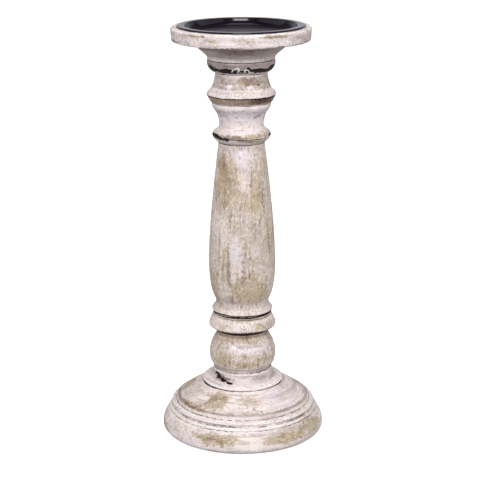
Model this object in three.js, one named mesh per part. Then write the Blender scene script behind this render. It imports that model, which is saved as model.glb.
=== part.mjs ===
// A turned wooden candlestick for one pillar candle, in limewashed wood with a loose black steel pan.
// Five turned sections stack on spigots, and one threaded rod down the middle pulls them together.
// Millimetres, +Z up, standing on z = 0 with its axis on x = y = 0.

import * as THREE from "three";

// ---- driving dimensions ----
const rimHeight = 305; // top of the wooden rim
const footDiameter = 120.8;
const plateDiameter = 100.6;
const gap = 0.3; // between pieces that touch
const feltThickness = 1.5;
const rodDiameter = 6;
const rodClearance = 0.5;

// where each turned section starts, up from the table
const footUnderside = feltThickness + gap;
const knopSeat = 50.2;
const columnSeat = 94.2;
const neckSeat = 221.9;
const cupSeat = 272.9;

// spigots that line the sections up
const wideSpigotRadius = 12;
const slimSpigotRadius = 10;
const spigotLength = 12;

// the pan, its rebate in the wooden rim and the fastening under it
const panRadius = 45.9;
const panThickness = 0.8;
const panWellRadius = 40.2;
const panFloorRadius = 36.4;
const panWellDepth = 5.2;
const panProud = 1.1; // above the wooden rim
const panHemDepth = 0.4; // of the turned-down edge, in the rebate
const panTop = rimHeight + panProud;
const panFloor = panTop - panWellDepth;
const counterboreRadius = 11;
const footCounterboreCeiling = 14;
const cupCounterboreFloor = 288;
const washerRadius = 9;
const washerThickness = 1.6;
const nutAcrossFlats = 10;
const nutHeight = 5;
const rodPastNut = 1.8;

// felt pads under the foot
const feltRadius = 8;
const feltCircleRadius = 46.5;
const feltPadCount = 4;

const boreRadius = rodDiameter / 2 + rodClearance;
const turnedSegments = 32;
const plateSegments = 40;
const smallSegments = 24;
const arcStep = THREE.MathUtils.degToRad(20);

// ---- materials ----
function finish(color, roughness, metalness) {
  return new THREE.MeshStandardMaterial({ color, roughness, metalness });
}

const limewash = 0xd3c8bb;
const blackEnamel = 0x1c181d;
const zincSteel = 0x9a9b9d;
const brownFelt = 0x5b4a3e;

// ---- outlines ----
// A half outline of a turned piece as radius and height, drawn from the bottom up.
class Outline {
  constructor(radius, height) {
    this.points = [new THREE.Vector2(radius, height)];
  }

  line(radius, height) {
    this.points.push(new THREE.Vector2(radius, height));
    return this;
  }

  // An arc whose middle stands off its chord by rise: outwards when positive, hollow when negative.
  bow(radius, height, rise) {
    const start = this.points.at(-1);
    const end = new THREE.Vector2(radius, height);
    const chord = end.clone().sub(start);
    const length = chord.length();
    const sweep = 4 * Math.atan((2 * rise) / length);
    const arcRadius = length / (2 * Math.sin(sweep / 2));
    const steps = Math.max(2, Math.ceil(Math.abs(sweep) / arcStep));
    const outward = new THREE.Vector2(chord.y, -chord.x).divideScalar(length);
    const centre = start.clone().add(end).multiplyScalar(0.5);
    centre.addScaledVector(outward, rise - arcRadius);
    const arm = start.clone().sub(centre);
    for (let step = 1; step < steps; step += 1) {
      const turned = arm.clone().rotateAround(new THREE.Vector2(), (sweep * step) / steps);
      this.points.push(centre.clone().add(turned));
    }
    return this.line(radius, height);
  }

  // A smooth curve through the points given, from the last one on.
  sweepThrough(places, steps) {
    const through = places.map(([radius, height]) => new THREE.Vector2(radius, height));
    const curve = new THREE.SplineCurve([this.points.at(-1), ...through]);
    this.points.push(...curve.getSpacedPoints(steps).slice(1));
    return this;
  }

  // Closes an outline that doesn't reach the axis.
  close() {
    this.points.push(this.points[0].clone());
    return this;
  }
}

// A solid of revolution about the vertical axis.
function turned(name, outline, material, segments = turnedSegments) {
  const geometry = new THREE.LatheGeometry(outline.points, segments);
  geometry.rotateX(Math.PI / 2);
  const mesh = new THREE.Mesh(geometry, material);
  mesh.name = name;
  return mesh;
}

// Starts a section at the bottom of its bore: the end of its spigot, then its shoulder.
function onSpigot(seat, spigotRadius, shoulderRadius) {
  const spigotEnd = seat + gap - spigotLength;
  return new Outline(boreRadius, spigotEnd)
    .line(spigotRadius, spigotEnd)
    .line(spigotRadius, seat + gap)
    .line(shoulderRadius, seat + gap);
}

// Ends a section at its top: the socket for the next spigot, then the bore.
function withSocket(outline, seat, spigotRadius) {
  return outline
    .line(spigotRadius + gap, seat)
    .line(spigotRadius + gap, seat - spigotLength)
    .line(boreRadius, seat - spigotLength)
    .close();
}

// ---- base: bulge, step ring, dome, flange and the short cove under the ball ----
function base() {
  const footRadius = footDiameter / 2;
  const recessDepth = 2;
  const recessRadius = 36;
  const outline = new Outline(boreRadius, footCounterboreCeiling)
    .line(counterboreRadius, footCounterboreCeiling)
    .line(counterboreRadius, footUnderside + recessDepth)
    .line(recessRadius, footUnderside + recessDepth)
    .line(recessRadius, footUnderside)
    .line(footRadius - 5.4, footUnderside)
    .bow(footRadius, 4.8, 1.1)
    .bow(58, 14.2, 0.9)
    .bow(56, 17.4, 0.2)
    .line(55.4, 18)
    .line(55.5, 18.8)
    .bow(54.1, 20.2, 0.3)
    .line(53.3, 20.5)
    .line(53.2, 22)
    .line(53.7, 22.5)
    .bow(51.4, 24.5, 0.6)
    .line(50.2, 24.6)
    .bow(49.7, 26.9, -0.25)
    .line(49, 27.5)
    .bow(29.8, 38.9, 0.5)
    .line(29.3, 39.4)
    .line(29.9, 39.9)
    .line(30, 40.8)
    .bow(28, 42.2, 0.3)
    .line(25.5, 42.7)
    .bow(21.4, 48, -0.9)
    .line(22, 48.6)
    .line(22, 49.7)
    .line(21.6, knopSeat);
  return turned("base", withSocket(outline, knopSeat, wideSpigotRadius), finish(limewash, 0.72, 0));
}

// ---- knop: the ball and the wide ring on it ----
function knop() {
  const outline = onSpigot(knopSeat, wideSpigotRadius, 21.3)
    .bow(22.5, 53.4, -0.25)
    .line(23.3, 54)
    .bow(24.8, 61.3, 0.35)
    .bow(19.7, 76.2, 1.1)
    .line(19.4, 78.4)
    .line(20.4, 80.9)
    .line(24.3, 82.5)
    .bow(24.95, 84.3, 0.15)
    .bow(21.9, 91.5, 0.4)
    .line(21.5, 92)
    .line(21.9, 92.5)
    .line(21.8, columnSeat);
  return turned("knop", withSocket(outline, columnSeat, wideSpigotRadius), finish(limewash, 0.72, 0));
}

// ---- column: the narrow ring and the long vase shape ----
function column() {
  const vase = [
    [22.6, 110.3],
    [24.2, 120.5],
    [24.65, 134],
    [23.35, 160],
    [20.7, 188.5],
    [17.5, 215.8],
  ];
  const outline = onSpigot(columnSeat, wideSpigotRadius, 20.6)
    .line(22.4, 95.1)
    .line(22.6, 96.2)
    .bow(20.1, 98.7, 0.3)
    .line(19.7, 99.6)
    .line(19.7, 102.2)
    .sweepThrough(vase, 18)
    .line(17, 217)
    .line(17, neckSeat);
  return turned("column", withSocket(outline, neckSeat, slimSpigotRadius), finish(limewash, 0.72, 0));
}

// ---- neck spool: bead, neck cove, fillet, ridge and reel ----
function neckSpool() {
  const outline = onSpigot(neckSeat, slimSpigotRadius, 17.3)
    .bow(20.9, 226, 0.2)
    .line(20.6, 226.6)
    .line(21.3, 227)
    .bow(19.2, 230.6, 0.6)
    .line(18.2, 231.4)
    .bow(16.3, 234.4, -0.4)
    .line(16.3, 236.6)
    .bow(20.8, 247.4, -0.95)
    .line(21.4, 248.6)
    .line(21.4, 250.9)
    .line(22.4, 251.6)
    .bow(25.1, 256.7, 0.1)
    .line(25.1, 257.5)
    .bow(23.6, 259, 0.2)
    .bow(19.1, 269.6, -0.95)
    .line(19, 271.6)
    .line(19.3, cupSeat);
  return turned("neck_spool", withSocket(outline, cupSeat, slimSpigotRadius), finish(limewash, 0.72, 0));
}

// ---- candle cup: collar, cavetto and the plate that holds the pan ----
function candleCup() {
  const plateRadius = plateDiameter / 2;
  const rimRadius = panRadius + gap;
  const rebate = rimHeight - panHemDepth - gap;
  const pocketRadius = panWellRadius + 1.7;
  const pocketFloor = panFloor - panThickness - gap;
  const outline = onSpigot(cupSeat, slimSpigotRadius, 20)
    .bow(24.5, 279.2, 1.1)
    .line(24.5, 281.3)
    .line(23.9, 281.9)
    .line(24.5, 282.6)
    .line(24.5, 284)
    .bow(30.6, 289.6, -0.25)
    .bow(36.5, 294.7, -0.4)
    .line(37.4, 295.1)
    .line(plateRadius - 1.7, 295.2)
    .bow(plateRadius - 0.6, 296.1, 0.3)
    .line(plateRadius, 303.4)
    .bow(plateRadius - 1.4, rimHeight, 0.4)
    .line(rimRadius + 0.3, rimHeight)
    .line(rimRadius, rimHeight - 0.3)
    .line(rimRadius, rebate)
    .line(pocketRadius, rebate)
    .line(pocketRadius, pocketFloor)
    .line(counterboreRadius, pocketFloor)
    .line(counterboreRadius, cupCounterboreFloor)
    .line(boreRadius, cupCounterboreFloor)
    .close();
  return turned("candle_cup", outline, finish(limewash, 0.72, 0), plateSegments);
}

// ---- candle pan: spun steel, a flat floor, a sloping wall and a flat flange with its edge turned down ----
function candlePan() {
  const underFloor = panFloor - panThickness;
  const underFlange = panTop - panThickness;
  const underHem = rimHeight - panHemDepth;
  const outline = new Outline(0, underFloor)
    .line(panFloorRadius + 0.3, underFloor)
    .bow(panFloorRadius + 3.4, underFloor + 1.9, 0.5)
    .line(panWellRadius + 0.3, underFlange - 0.6)
    .bow(panWellRadius + 1.1, underFlange, -0.15)
    .line(panRadius - panThickness, underFlange)
    .line(panRadius - panThickness, underHem)
    .line(panRadius, underHem)
    .line(panRadius, panTop - 0.4)
    .line(panRadius - 0.4, panTop)
    .line(panWellRadius + 0.8, panTop)
    .line(panWellRadius, panTop - 0.3)
    .line(panFloorRadius + 2.6, panFloor + 1.9)
    .line(panFloorRadius + 1.6, panFloor + 0.6)
    .line(panFloorRadius - 0.2, panFloor)
    .line(0, panFloor);
  return turned("candle_pan", outline, finish(blackEnamel, 0.28, 0.5), plateSegments);
}

// ---- the fastening down the middle ----
function tieRod(bottom, top) {
  const radius = rodDiameter / 2;
  const chamfer = 0.7;
  const outline = new Outline(0, bottom)
    .line(radius - chamfer, bottom)
    .line(radius, bottom + chamfer)
    .line(radius, top - chamfer)
    .line(radius - chamfer, top)
    .line(0, top);
  return turned("tie_rod", outline, finish(zincSteel, 0.4, 0.9), smallSegments);
}

function washer(name, bottom) {
  const outline = new Outline(boreRadius, bottom)
    .line(washerRadius, bottom)
    .line(washerRadius, bottom + washerThickness)
    .line(boreRadius, bottom + washerThickness)
    .close();
  return turned(name, outline, finish(zincSteel, 0.4, 0.9), smallSegments);
}

function nut(name, bottom) {
  const corner = nutAcrossFlats / Math.sqrt(3);
  const sides = 6;
  const shape = new THREE.Shape();
  for (let side = 0; side < sides; side += 1) {
    const angle = (side / sides) * 2 * Math.PI;
    const place = [corner * Math.cos(angle), corner * Math.sin(angle)];
    if (side === 0) {
      shape.moveTo(...place);
    } else {
      shape.lineTo(...place);
    }
  }
  shape.closePath();
  const hole = new THREE.Path();
  hole.absarc(0, 0, rodDiameter / 2 + gap, 0, 2 * Math.PI, true);
  shape.holes.push(hole);
  const settings = { depth: nutHeight, bevelEnabled: false, curveSegments: smallSegments / 2 };
  const mesh = new THREE.Mesh(new THREE.ExtrudeGeometry(shape, settings), finish(zincSteel, 0.4, 0.9));
  mesh.position.z = bottom;
  mesh.name = name;
  return mesh;
}

// ---- felt pads ----
function feltPad(index) {
  const angle = ((index + 0.5) / feltPadCount) * 2 * Math.PI;
  const geometry = new THREE.CylinderGeometry(feltRadius, feltRadius, feltThickness, smallSegments);
  geometry.rotateX(Math.PI / 2);
  const mesh = new THREE.Mesh(geometry, finish(brownFelt, 0.95, 0));
  mesh.position.set(
    feltCircleRadius * Math.cos(angle),
    feltCircleRadius * Math.sin(angle),
    feltThickness / 2,
  );
  mesh.name = `felt_pad_${index + 1}`;
  return mesh;
}

// ---- assembly ----
const bottomWasher = footCounterboreCeiling - gap - washerThickness;
const bottomNut = bottomWasher - gap - nutHeight;
const topWasher = cupCounterboreFloor + gap;
const topNut = topWasher + washerThickness + gap;

const candlestick = new THREE.Group();
candlestick.add(base(), knop(), column(), neckSpool(), candleCup(), candlePan());
candlestick.add(tieRod(bottomNut - rodPastNut, topNut + nutHeight + rodPastNut));
candlestick.add(washer("top_washer", topWasher), nut("top_nut", topNut));
candlestick.add(washer("bottom_washer", bottomWasher), nut("bottom_nut", bottomNut));
for (let index = 0; index < feltPadCount; index += 1) {
  candlestick.add(feltPad(index));
}

export default candlestick;
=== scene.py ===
import math

import bpy
import numpy as np
from mathutils import Matrix, Vector


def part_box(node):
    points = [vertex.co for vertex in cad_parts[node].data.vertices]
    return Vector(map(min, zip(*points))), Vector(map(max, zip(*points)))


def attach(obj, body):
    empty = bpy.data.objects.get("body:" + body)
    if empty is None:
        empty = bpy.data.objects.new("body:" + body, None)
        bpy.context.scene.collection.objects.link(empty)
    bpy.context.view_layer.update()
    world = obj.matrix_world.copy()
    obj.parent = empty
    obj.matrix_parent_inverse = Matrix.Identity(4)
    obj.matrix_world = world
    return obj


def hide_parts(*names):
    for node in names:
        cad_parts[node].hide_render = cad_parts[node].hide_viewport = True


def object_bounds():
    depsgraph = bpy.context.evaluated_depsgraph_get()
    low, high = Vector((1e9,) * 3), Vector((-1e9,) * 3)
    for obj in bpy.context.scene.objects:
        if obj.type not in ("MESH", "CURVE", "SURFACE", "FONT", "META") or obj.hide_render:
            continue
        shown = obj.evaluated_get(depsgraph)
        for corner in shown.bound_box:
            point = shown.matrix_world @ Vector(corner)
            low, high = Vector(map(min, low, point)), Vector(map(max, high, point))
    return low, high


# A limewashed, turned wooden candlestick with a loose black enamelled pan.
# Every turned piece takes its outline from the frame, so shapes and places stay the CAD's own.

mm = 0.001

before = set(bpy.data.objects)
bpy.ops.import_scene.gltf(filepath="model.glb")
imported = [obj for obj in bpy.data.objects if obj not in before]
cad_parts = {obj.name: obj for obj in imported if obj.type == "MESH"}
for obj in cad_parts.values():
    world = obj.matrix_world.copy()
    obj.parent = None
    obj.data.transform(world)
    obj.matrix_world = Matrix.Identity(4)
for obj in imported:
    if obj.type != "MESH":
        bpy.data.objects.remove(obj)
cadLow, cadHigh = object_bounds()

# the camera comes first, so that every try shows the right view
cameraSetup = {
    "distance": 1.07675,  # metres, to the point it looks at on the turning axis
    "aimHeight": 0.1475,
    "sideways": -0.0015,
    "pitch": 15.56,  # degrees below level
    "roll": -0.29,
    "lens": 109.4,
    "sensor": 36,
}


def makeCamera(setup):
    data = bpy.data.cameras.new("camera")
    data.lens = setup["lens"]
    data.sensor_width = setup["sensor"]
    camera = bpy.data.objects.new("camera", data)
    bpy.context.scene.collection.objects.link(camera)
    pitch = math.radians(setup["pitch"])
    back = Vector((0, -math.cos(pitch), math.sin(pitch))) * setup["distance"]
    place = Vector((setup["sideways"], 0, setup["aimHeight"])) + back
    tilt = Matrix.Rotation(math.pi / 2 - pitch, 4, "X")
    roll = Matrix.Rotation(math.radians(setup["roll"]), 4, "Z")
    camera.matrix_world = Matrix.Translation(place) @ tilt @ roll
    bpy.context.scene.camera = camera


makeCamera(cameraSetup)
print("Camera placed")


# Lumps of a random field, -1 to 1, at points in metres.
# size is their spacing in mm, one number or one per axis.
def cloud(points, size, seed, octaves=2):
    side = 32
    lattice = np.random.default_rng(seed).uniform(-1, 1, (side, side, side))
    total = np.zeros(points.shape[:-1])
    weight = 0.0
    for octave in range(octaves):
        scaled = points / (np.asarray(size) * mm) * 2**octave + 5.7 * octave
        cell = np.floor(scaled).astype(int)
        part = scaled - cell
        part = part * part * (3 - 2 * part)
        for corner in range(8):
            bits = np.array([corner & 1, corner >> 1 & 1, corner >> 2 & 1])
            share = np.prod(np.where(bits == 1, part, 1 - part), axis=-1)
            index = (cell + bits) % side
            total += share * lattice[index[..., 0], index[..., 1], index[..., 2]] * 0.5**octave
        weight += 0.5**octave
    return total / weight


# 0 at low and under, 1 at high and over, with a smooth step between; low may be above high
def ease(value, low, high):
    part = np.clip((value - low) / (high - low), 0, 1)
    return part * part * (3 - 2 * part)


# The points where a turned piece crosses the +X half plane, in order, as (radius, height).
# They run outwards along the underside first, and close on themselves unless the piece reaches its axis.
def cadOutline(nodeName):
    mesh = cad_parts[nodeName].data
    onPlane = 2e-6
    spots = {}
    for vertex in mesh.vertices:
        x, y, z = vertex.co
        if abs(y) < onPlane and x > -onPlane:
            spots[vertex.index] = (round(max(x, 0.0), 6), round(z, 6))
    nextTo = {spot: set() for spot in spots.values()}
    for edge in mesh.edges:
        first, second = (spots.get(index) for index in edge.vertices)
        if first and second and first != second:
            nextTo[first].add(second)
            nextTo[second].add(first)
    ends = [spot for spot, others in nextTo.items() if len(others) == 1]
    start = min(ends or nextTo, key=lambda spot: (spot[0], spot[1]))
    outline = [start, max(nextTo[start])]
    while True:
        onward = [spot for spot in nextTo[outline[-1]] if spot != outline[-2]]
        if not onward or onward[0] == start:
            break
        outline.append(onward[0])
    return np.array(outline), not ends


# Points on round curves through the ones given, about spacing apart, without the last one.
def curveThrough(points, spacing):
    steps = np.diff(points, axis=0)
    lengths = np.linalg.norm(steps, axis=1, keepdims=True)
    ways = steps / lengths
    tangents = np.repeat(ways, 2, axis=0)[:2]
    if len(ways) > 1:
        # as on a circle, a tangent leans towards the shorter chord, but a long line stays straight
        inner = ways[:-1] * lengths[1:] + ways[1:] * lengths[:-1]
        before, after = lengths[:-1], lengths[1:]
        longer = 2.5
        inner = np.where(after > longer * before, ways[1:], inner)
        inner = np.where(before > longer * after, ways[:-1], inner)
        inner /= np.linalg.norm(inner, axis=1, keepdims=True)
        first = 2 * (ways[0] @ inner[0]) * ways[0] - inner[0]
        last = 2 * (ways[-1] @ inner[-1]) * ways[-1] - inner[-1]
        tangents = np.vstack([first, inner, last])
    made = []
    for index, length in enumerate(lengths[:, 0]):
        part = np.linspace(0, 1, max(2, round(length / spacing)), endpoint=False)[:, None]
        bulge = part * (1 - part) * length
        made.append(
            points[index]
            + steps[index] * part * part * (3 - 2 * part)
            + bulge * ((1 - part) * tangents[index] - part * tangents[index + 1])
        )
    return np.vstack(made)


# The outline as a fine line: curves through its gentle turns, and its sharp corners rubbed round.
def fairOutline(points, closed, softness):
    spacing = 0.08 * mm
    sharp = math.radians(24)
    if closed:
        points = np.vstack([points, points[:1]])
    steps = np.diff(points, axis=0)
    heading = np.unwrap(np.arctan2(steps[:, 1], steps[:, 0]))
    corners = [0, *(np.flatnonzero(np.abs(np.diff(heading)) > sharp) + 1), len(points) - 1]
    runs = [curveThrough(points[a : b + 1], spacing) for a, b in zip(corners[:-1], corners[1:])]
    line = np.vstack(runs if closed else runs + [points[-1:]])
    reach = int(3 * softness / spacing)
    bell = np.exp(-0.5 * (np.arange(-reach, reach + 1) * spacing / softness) ** 2)
    bell /= bell.sum()
    padded = np.pad(line, ((reach, reach), (0, 0)), mode="wrap" if closed else "edge")
    return np.stack([np.convolve(padded[:, axis], bell, "valid") for axis in range(2)], axis=1)


# How far the line turns, in radians, within reach of each point.
# It is above 0 on an arris and below 0 in a groove.
def turning(line, reach, closed):
    count = max(1, round(reach / np.linalg.norm(np.diff(line, axis=0), axis=1).mean()))
    padded = np.pad(line, ((count, count), (0, 0)), mode="wrap" if closed else "edge")
    behind = line - padded[: -2 * count]
    ahead = padded[2 * count :] - line
    cross = behind[:, 0] * ahead[:, 1] - behind[:, 1] * ahead[:, 0]
    return np.arctan2(cross, (behind * ahead).sum(axis=1))


# One row of numbers for each ring of the mesh: radius, height, outward slope in both, and turning.
# Rings lie close together round tight bends, and far apart on the core surfaces that never show.
def spreadRings(line, closed, ringGap, core):
    bendReach = 0.6 * mm
    coreGap = 3 * mm
    turn = turning(line, bendReach, closed)
    padded = np.pad(line, ((1, 1), (0, 0)), mode="wrap" if closed else "edge")
    way = padded[2:] - padded[:-2]
    way /= np.linalg.norm(way, axis=1, keepdims=True)
    table = np.column_stack([line, way[:, 1], -way[:, 0], turn])
    if closed:
        table = np.vstack([table, table[:1]])
    steps = np.linalg.norm(np.diff(table[:, :2], axis=0), axis=1)
    apart = ringGap * mm / (1 + 2 * np.abs(table[:-1, 4]))
    apart[inCore(table[:-1, 0], table[:-1, 1], core)] = coreGap
    along = np.concatenate([[0], np.cumsum(steps / apart)])
    at = np.linspace(0, along[-1], int(along[-1]), endpoint=not closed)
    return np.stack([np.interp(at, along, column) for column in table.T], axis=1)


def inCore(radius, height, core):
    if core is None:
        return np.zeros(radius.shape, bool)
    return (radius < core["radius"] * mm) & (height > core["low"] * mm) & (height < core["high"] * mm)


# Points on rings about the axis, from row arrays of radius and height. Angle 0 faces the camera.
def ringPoints(radius, height, angles):
    x = radius[:, None] * np.sin(angles)
    y = -radius[:, None] * np.cos(angles)
    return np.stack([x, y, np.broadcast_to(height[:, None], x.shape)], axis=-1)


# A closed mesh over a grid of points, rings by places round the ring.
# An open stack of rings gets a point at each end.
def skin(name, grid, closed):
    rings, around = grid.shape[:2]
    points = grid.reshape(-1, 3)
    ring = np.arange(rings if closed else rings - 1)[:, None]
    place = np.arange(around)[None, :]
    above = (ring + 1) % rings * around
    beside = (place + 1) % around
    quads = np.stack(
        [ring * around + place, ring * around + beside, above + beside, above + place], axis=-1
    )
    faces = quads.reshape(-1, 4).tolist()
    if not closed:
        low, high = len(points), len(points) + 1
        points = np.vstack([points, grid[0].mean(axis=0), grid[-1].mean(axis=0)])
        top = (rings - 1) * around
        for index in range(around):
            following = (index + 1) % around
            faces.append((low, following, index))
            faces.append((high, top + index, top + following))
    mesh = bpy.data.meshes.new(name)
    mesh.from_pydata(points.tolist(), [], faces)
    mesh.shade_smooth()
    piece = bpy.data.objects.new(name, mesh)
    bpy.context.scene.collection.objects.link(piece)
    return piece


def addLayer(piece, name, values):
    flat = np.zeros(len(piece.data.vertices), np.float32)
    flat[: values.size] = values.ravel()
    piece.data.attributes.new(name, "FLOAT", "POINT").data.foreach_set("value", flat)


# a colour as a screen shows it, 0 to 255, made linear for the shader
def shade(red, green, blue):
    linear = []
    for part in (red, green, blue):
        part /= 255
        linear.append(part / 12.92 if part < 0.04 else ((part + 0.055) / 1.055) ** 2.4)
    return (*linear, 1)


def newMaterial(name):
    material = bpy.data.materials.new(name)
    material.use_nodes = True
    return material, material.node_tree, material.node_tree.nodes["Principled BSDF"]


def feed(tree, socket, value):
    if isinstance(value, bpy.types.NodeSocket):
        tree.links.new(value, socket)
    else:
        socket.default_value = value


def sumUp(tree, operation, first, second):
    node = tree.nodes.new("ShaderNodeMath")
    node.operation = operation
    feed(tree, node.inputs[0], first)
    feed(tree, node.inputs[1], second)
    return node.outputs[0]


def plus(tree, first, second):
    return sumUp(tree, "ADD", first, second)


def times(tree, first, second):
    return sumUp(tree, "MULTIPLY", first, second)


# how far a random field, which runs from 0 to 1, strays from its middle, enlarged
def stray(tree, value, gain):
    return times(tree, sumUp(tree, "SUBTRACT", value, 0.5), gain)


# 0 to 1 as value goes from low to high, smoothly
def between(tree, value, low, high):
    node = tree.nodes.new("ShaderNodeMapRange")
    node.interpolation_type = "SMOOTHSTEP"
    feed(tree, node.inputs["Value"], value)
    node.inputs["From Min"].default_value = low
    node.inputs["From Max"].default_value = high
    return node.outputs[0]


def over(tree, amount, below, above, mode="MIX"):
    node = tree.nodes.new("ShaderNodeMix")
    node.data_type = "RGBA"
    node.blend_type = mode
    feed(tree, node.inputs[0], amount)
    feed(tree, node.inputs[6], below)
    feed(tree, node.inputs[7], above)
    return node.outputs[2]


# random lumps as a node: size is their spacing in mm along each axis
def lumps(tree, size, detail=3.0, roughness=0.55, distortion=0.0):
    place = tree.nodes.new("ShaderNodeTexCoord")
    mapping = tree.nodes.new("ShaderNodeMapping")
    mapping.inputs["Scale"].default_value = tuple(1 / (part * mm) for part in size)
    tree.links.new(place.outputs["Object"], mapping.inputs["Vector"])
    noise = tree.nodes.new("ShaderNodeTexNoise")
    noise.inputs["Scale"].default_value = 1
    noise.inputs["Detail"].default_value = detail
    noise.inputs["Roughness"].default_value = roughness
    noise.inputs["Distortion"].default_value = distortion
    tree.links.new(mapping.outputs[0], noise.inputs["Vector"])
    return noise.outputs["Fac"]


def layer(tree, name):
    node = tree.nodes.new("ShaderNodeAttribute")
    node.attribute_name = name
    return node.outputs["Fac"]


def bump(tree, shader, height, depth, strength):
    node = tree.nodes.new("ShaderNodeBump")
    node.inputs["Strength"].default_value = strength
    node.inputs["Distance"].default_value = depth * mm
    feed(tree, node.inputs["Height"], height)
    tree.links.new(node.outputs[0], shader.inputs["Normal"])


limewashLook = {
    "tan": shade(200, 180, 160),
    "olive": shade(186, 172, 142),
    "brown": shade(154, 132, 114),
    "darkGrain": shade(112, 92, 80),
    "pinkWhite": shade(246, 232, 228),
    "cream": shade(244, 231, 220),
    "lilac": shade(226, 216, 224),
    "smudge": shade(190, 174, 172),
    # chalk white is also painted highlight, and the grime, stain and wax tones are also painted shade
    "chalk_and_highlight": shade(251, 245, 246),
    "grime_and_shade": shade(122, 106, 98),
    "stain_and_shade": shade(128, 106, 102),
    "wax_and_shade": shade(20, 11, 14),
    "rawWood": shade(186, 156, 122),
    "rawGrain": shade(150, 118, 88),
    "grainShow": 0.75,  # how far each of these covers what lies under it, 0 to 1
    "fleckShow": 0.45,
    "mottleShow": 0.5,
    "brushShow": 0.7,
    "strokeSmudge": 0.75,
    "strokeChalk": 0.6,
    "washShow": 0.9,
    "grimeShadeShow": 0.75,
    "chalkHighlightShow": 0.85,
    "unwornCover": 0.42,  # the wash holds where the cover is high and breaks up where it is low
    "wear": 0.46,
    "coverLow": 0.33,
    "coverHigh": 0.65,
    "roughness": 0.6,
    "washRoughness": 0.15,  # more of it on the wash
    "specular": 0.12,
    "bumpDepth": 0.3,  # mm
    "bumpStrength": 0.55,
}


# Thin lilac and pinkish whitewash over tan wood. The wash breaks up along the grain, more so where the
# layer called bare is strong. Chalk is thick white and also painted highlight on arrises and on the
# ball, wax is the dark wax in the grooves and also painted shade in them and under rings, grime is dirt
# and also painted shade, stain is a stain and also painted shade under overhangs, and raw is wood that
# was never painted.
def makeLimewash(name, grainAxis, look):
    material, tree, shader = newMaterial(name)

    def grained(wide, long, **settings):
        return lumps(tree, [long if axis == grainAxis else wide for axis in range(3)], **settings)

    fine = grained(0.5, 8, detail=4)
    streak = grained(2.6, 40)
    fleck = grained(1.3, 2.4, detail=4, roughness=0.66, distortion=0.4)
    crumbs = lumps(tree, (0.9, 0.9, 0.9), detail=3, roughness=0.7)
    brushed = lumps(tree, (2.6, 2.6, 2.6), detail=4, roughness=0.6)
    mottle = lumps(tree, (7, 7, 8), detail=3)
    drift = lumps(tree, (24, 24, 30), detail=2)

    wood = over(tree, between(tree, mottle, 0.38, 0.62), look["tan"], look["olive"])
    wood = over(tree, between(tree, streak, 0.5, 0.68), wood, look["brown"])
    dark = times(tree, between(tree, fine, 0.5, 0.68), look["grainShow"])
    wood = over(tree, dark, wood, look["darkGrain"])
    pale = times(tree, between(tree, fleck, 0.5, 0.66), look["fleckShow"])
    wood = over(tree, pale, wood, look["cream"])

    wash = over(tree, between(tree, drift, 0.4, 0.62), look["pinkWhite"], look["cream"])
    lilac = times(tree, between(tree, mottle, 0.48, 0.66), look["mottleShow"])
    lilac = sumUp(tree, "MINIMUM", plus(tree, layer(tree, "lilac"), lilac), 1)
    wash = over(tree, lilac, wash, look["lilac"])
    smudged = times(tree, between(tree, brushed, 0.5, 0.68), look["brushShow"])
    wash = over(tree, smudged, wash, look["smudge"])
    strokes = layer(tree, "strokes")
    smudged = times(tree, between(tree, strokes, 0.08, 0.5), look["strokeSmudge"])
    wash = over(tree, smudged, wash, look["smudge"])
    whitened = times(tree, between(tree, strokes, -0.1, -0.5), look["strokeChalk"])
    wash = over(tree, whitened, wash, look["chalk_and_highlight"])
    wash = over(tree, between(tree, crumbs, 0.56, 0.68), wash, look["chalk_and_highlight"])

    wornAndReflection = times(tree, layer(tree, "bare"), -look["wear"])
    cover = plus(tree, plus(tree, times(tree, fleck, 0.7), wornAndReflection), look["unwornCover"])
    cover = plus(tree, cover, stray(tree, brushed, 0.45))
    cover = plus(tree, cover, times(tree, streak, -0.12))
    covered = between(tree, cover, look["coverLow"], look["coverHigh"])
    paint = over(tree, times(tree, covered, look["washShow"]), wood, wash)

    # stain darkens by multiplying: real stains, and painted shade on the cavetto and the collar under
    # their overhangs
    paint = over(tree, layer(tree, "stain_and_shade"), paint, look["stain_and_shade"], "MULTIPLY")
    ragged = stray(tree, fleck, 1.3)
    patched = plus(tree, stray(tree, brushed, 2.6), ragged)
    # grey-brown grime, also painted shade under the plate's edge and beside the bead
    grimyAndShaded = between(tree, plus(tree, layer(tree, "grime_and_shade"), patched), 0.4, 1.15)
    paint = over(tree, times(tree, grimyAndShaded, look["grimeShadeShow"]), paint, look["grime_and_shade"])
    # thick white paint, also painted highlight on arrises and on the front of the ball
    chalkyAndHighlit = between(tree, plus(tree, layer(tree, "chalk_and_highlight"), ragged), 0.3, 0.75)
    paint = over(tree, times(tree, chalkyAndHighlit, look["chalkHighlightShow"]), paint, look["chalk_and_highlight"])
    # near-black wax in the joints, also painted shade in grooves and under rings, collar and bead
    waxedAndShaded = between(tree, plus(tree, layer(tree, "wax_and_shade"), ragged), 0.3, 0.75)
    paint = over(tree, waxedAndShaded, paint, look["wax_and_shade"])
    rawTone = over(tree, between(tree, fine, 0.45, 0.7), look["rawWood"], look["rawGrain"])
    paint = over(tree, layer(tree, "raw"), paint, rawTone)
    feed(tree, shader.inputs["Base Color"], paint)

    rough = plus(tree, times(tree, covered, look["washRoughness"]), look["roughness"])
    feed(tree, shader.inputs["Roughness"], rough)
    shader.inputs["Specular IOR Level"].default_value = look["specular"]
    height = plus(tree, covered, times(tree, fine, -0.8))
    height = plus(tree, height, times(tree, crumbs, 0.5))
    height = plus(tree, height, times(tree, chalkyAndHighlit, 0.6))
    bump(tree, shader, height, look["bumpDepth"], look["bumpStrength"])
    return material


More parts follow.
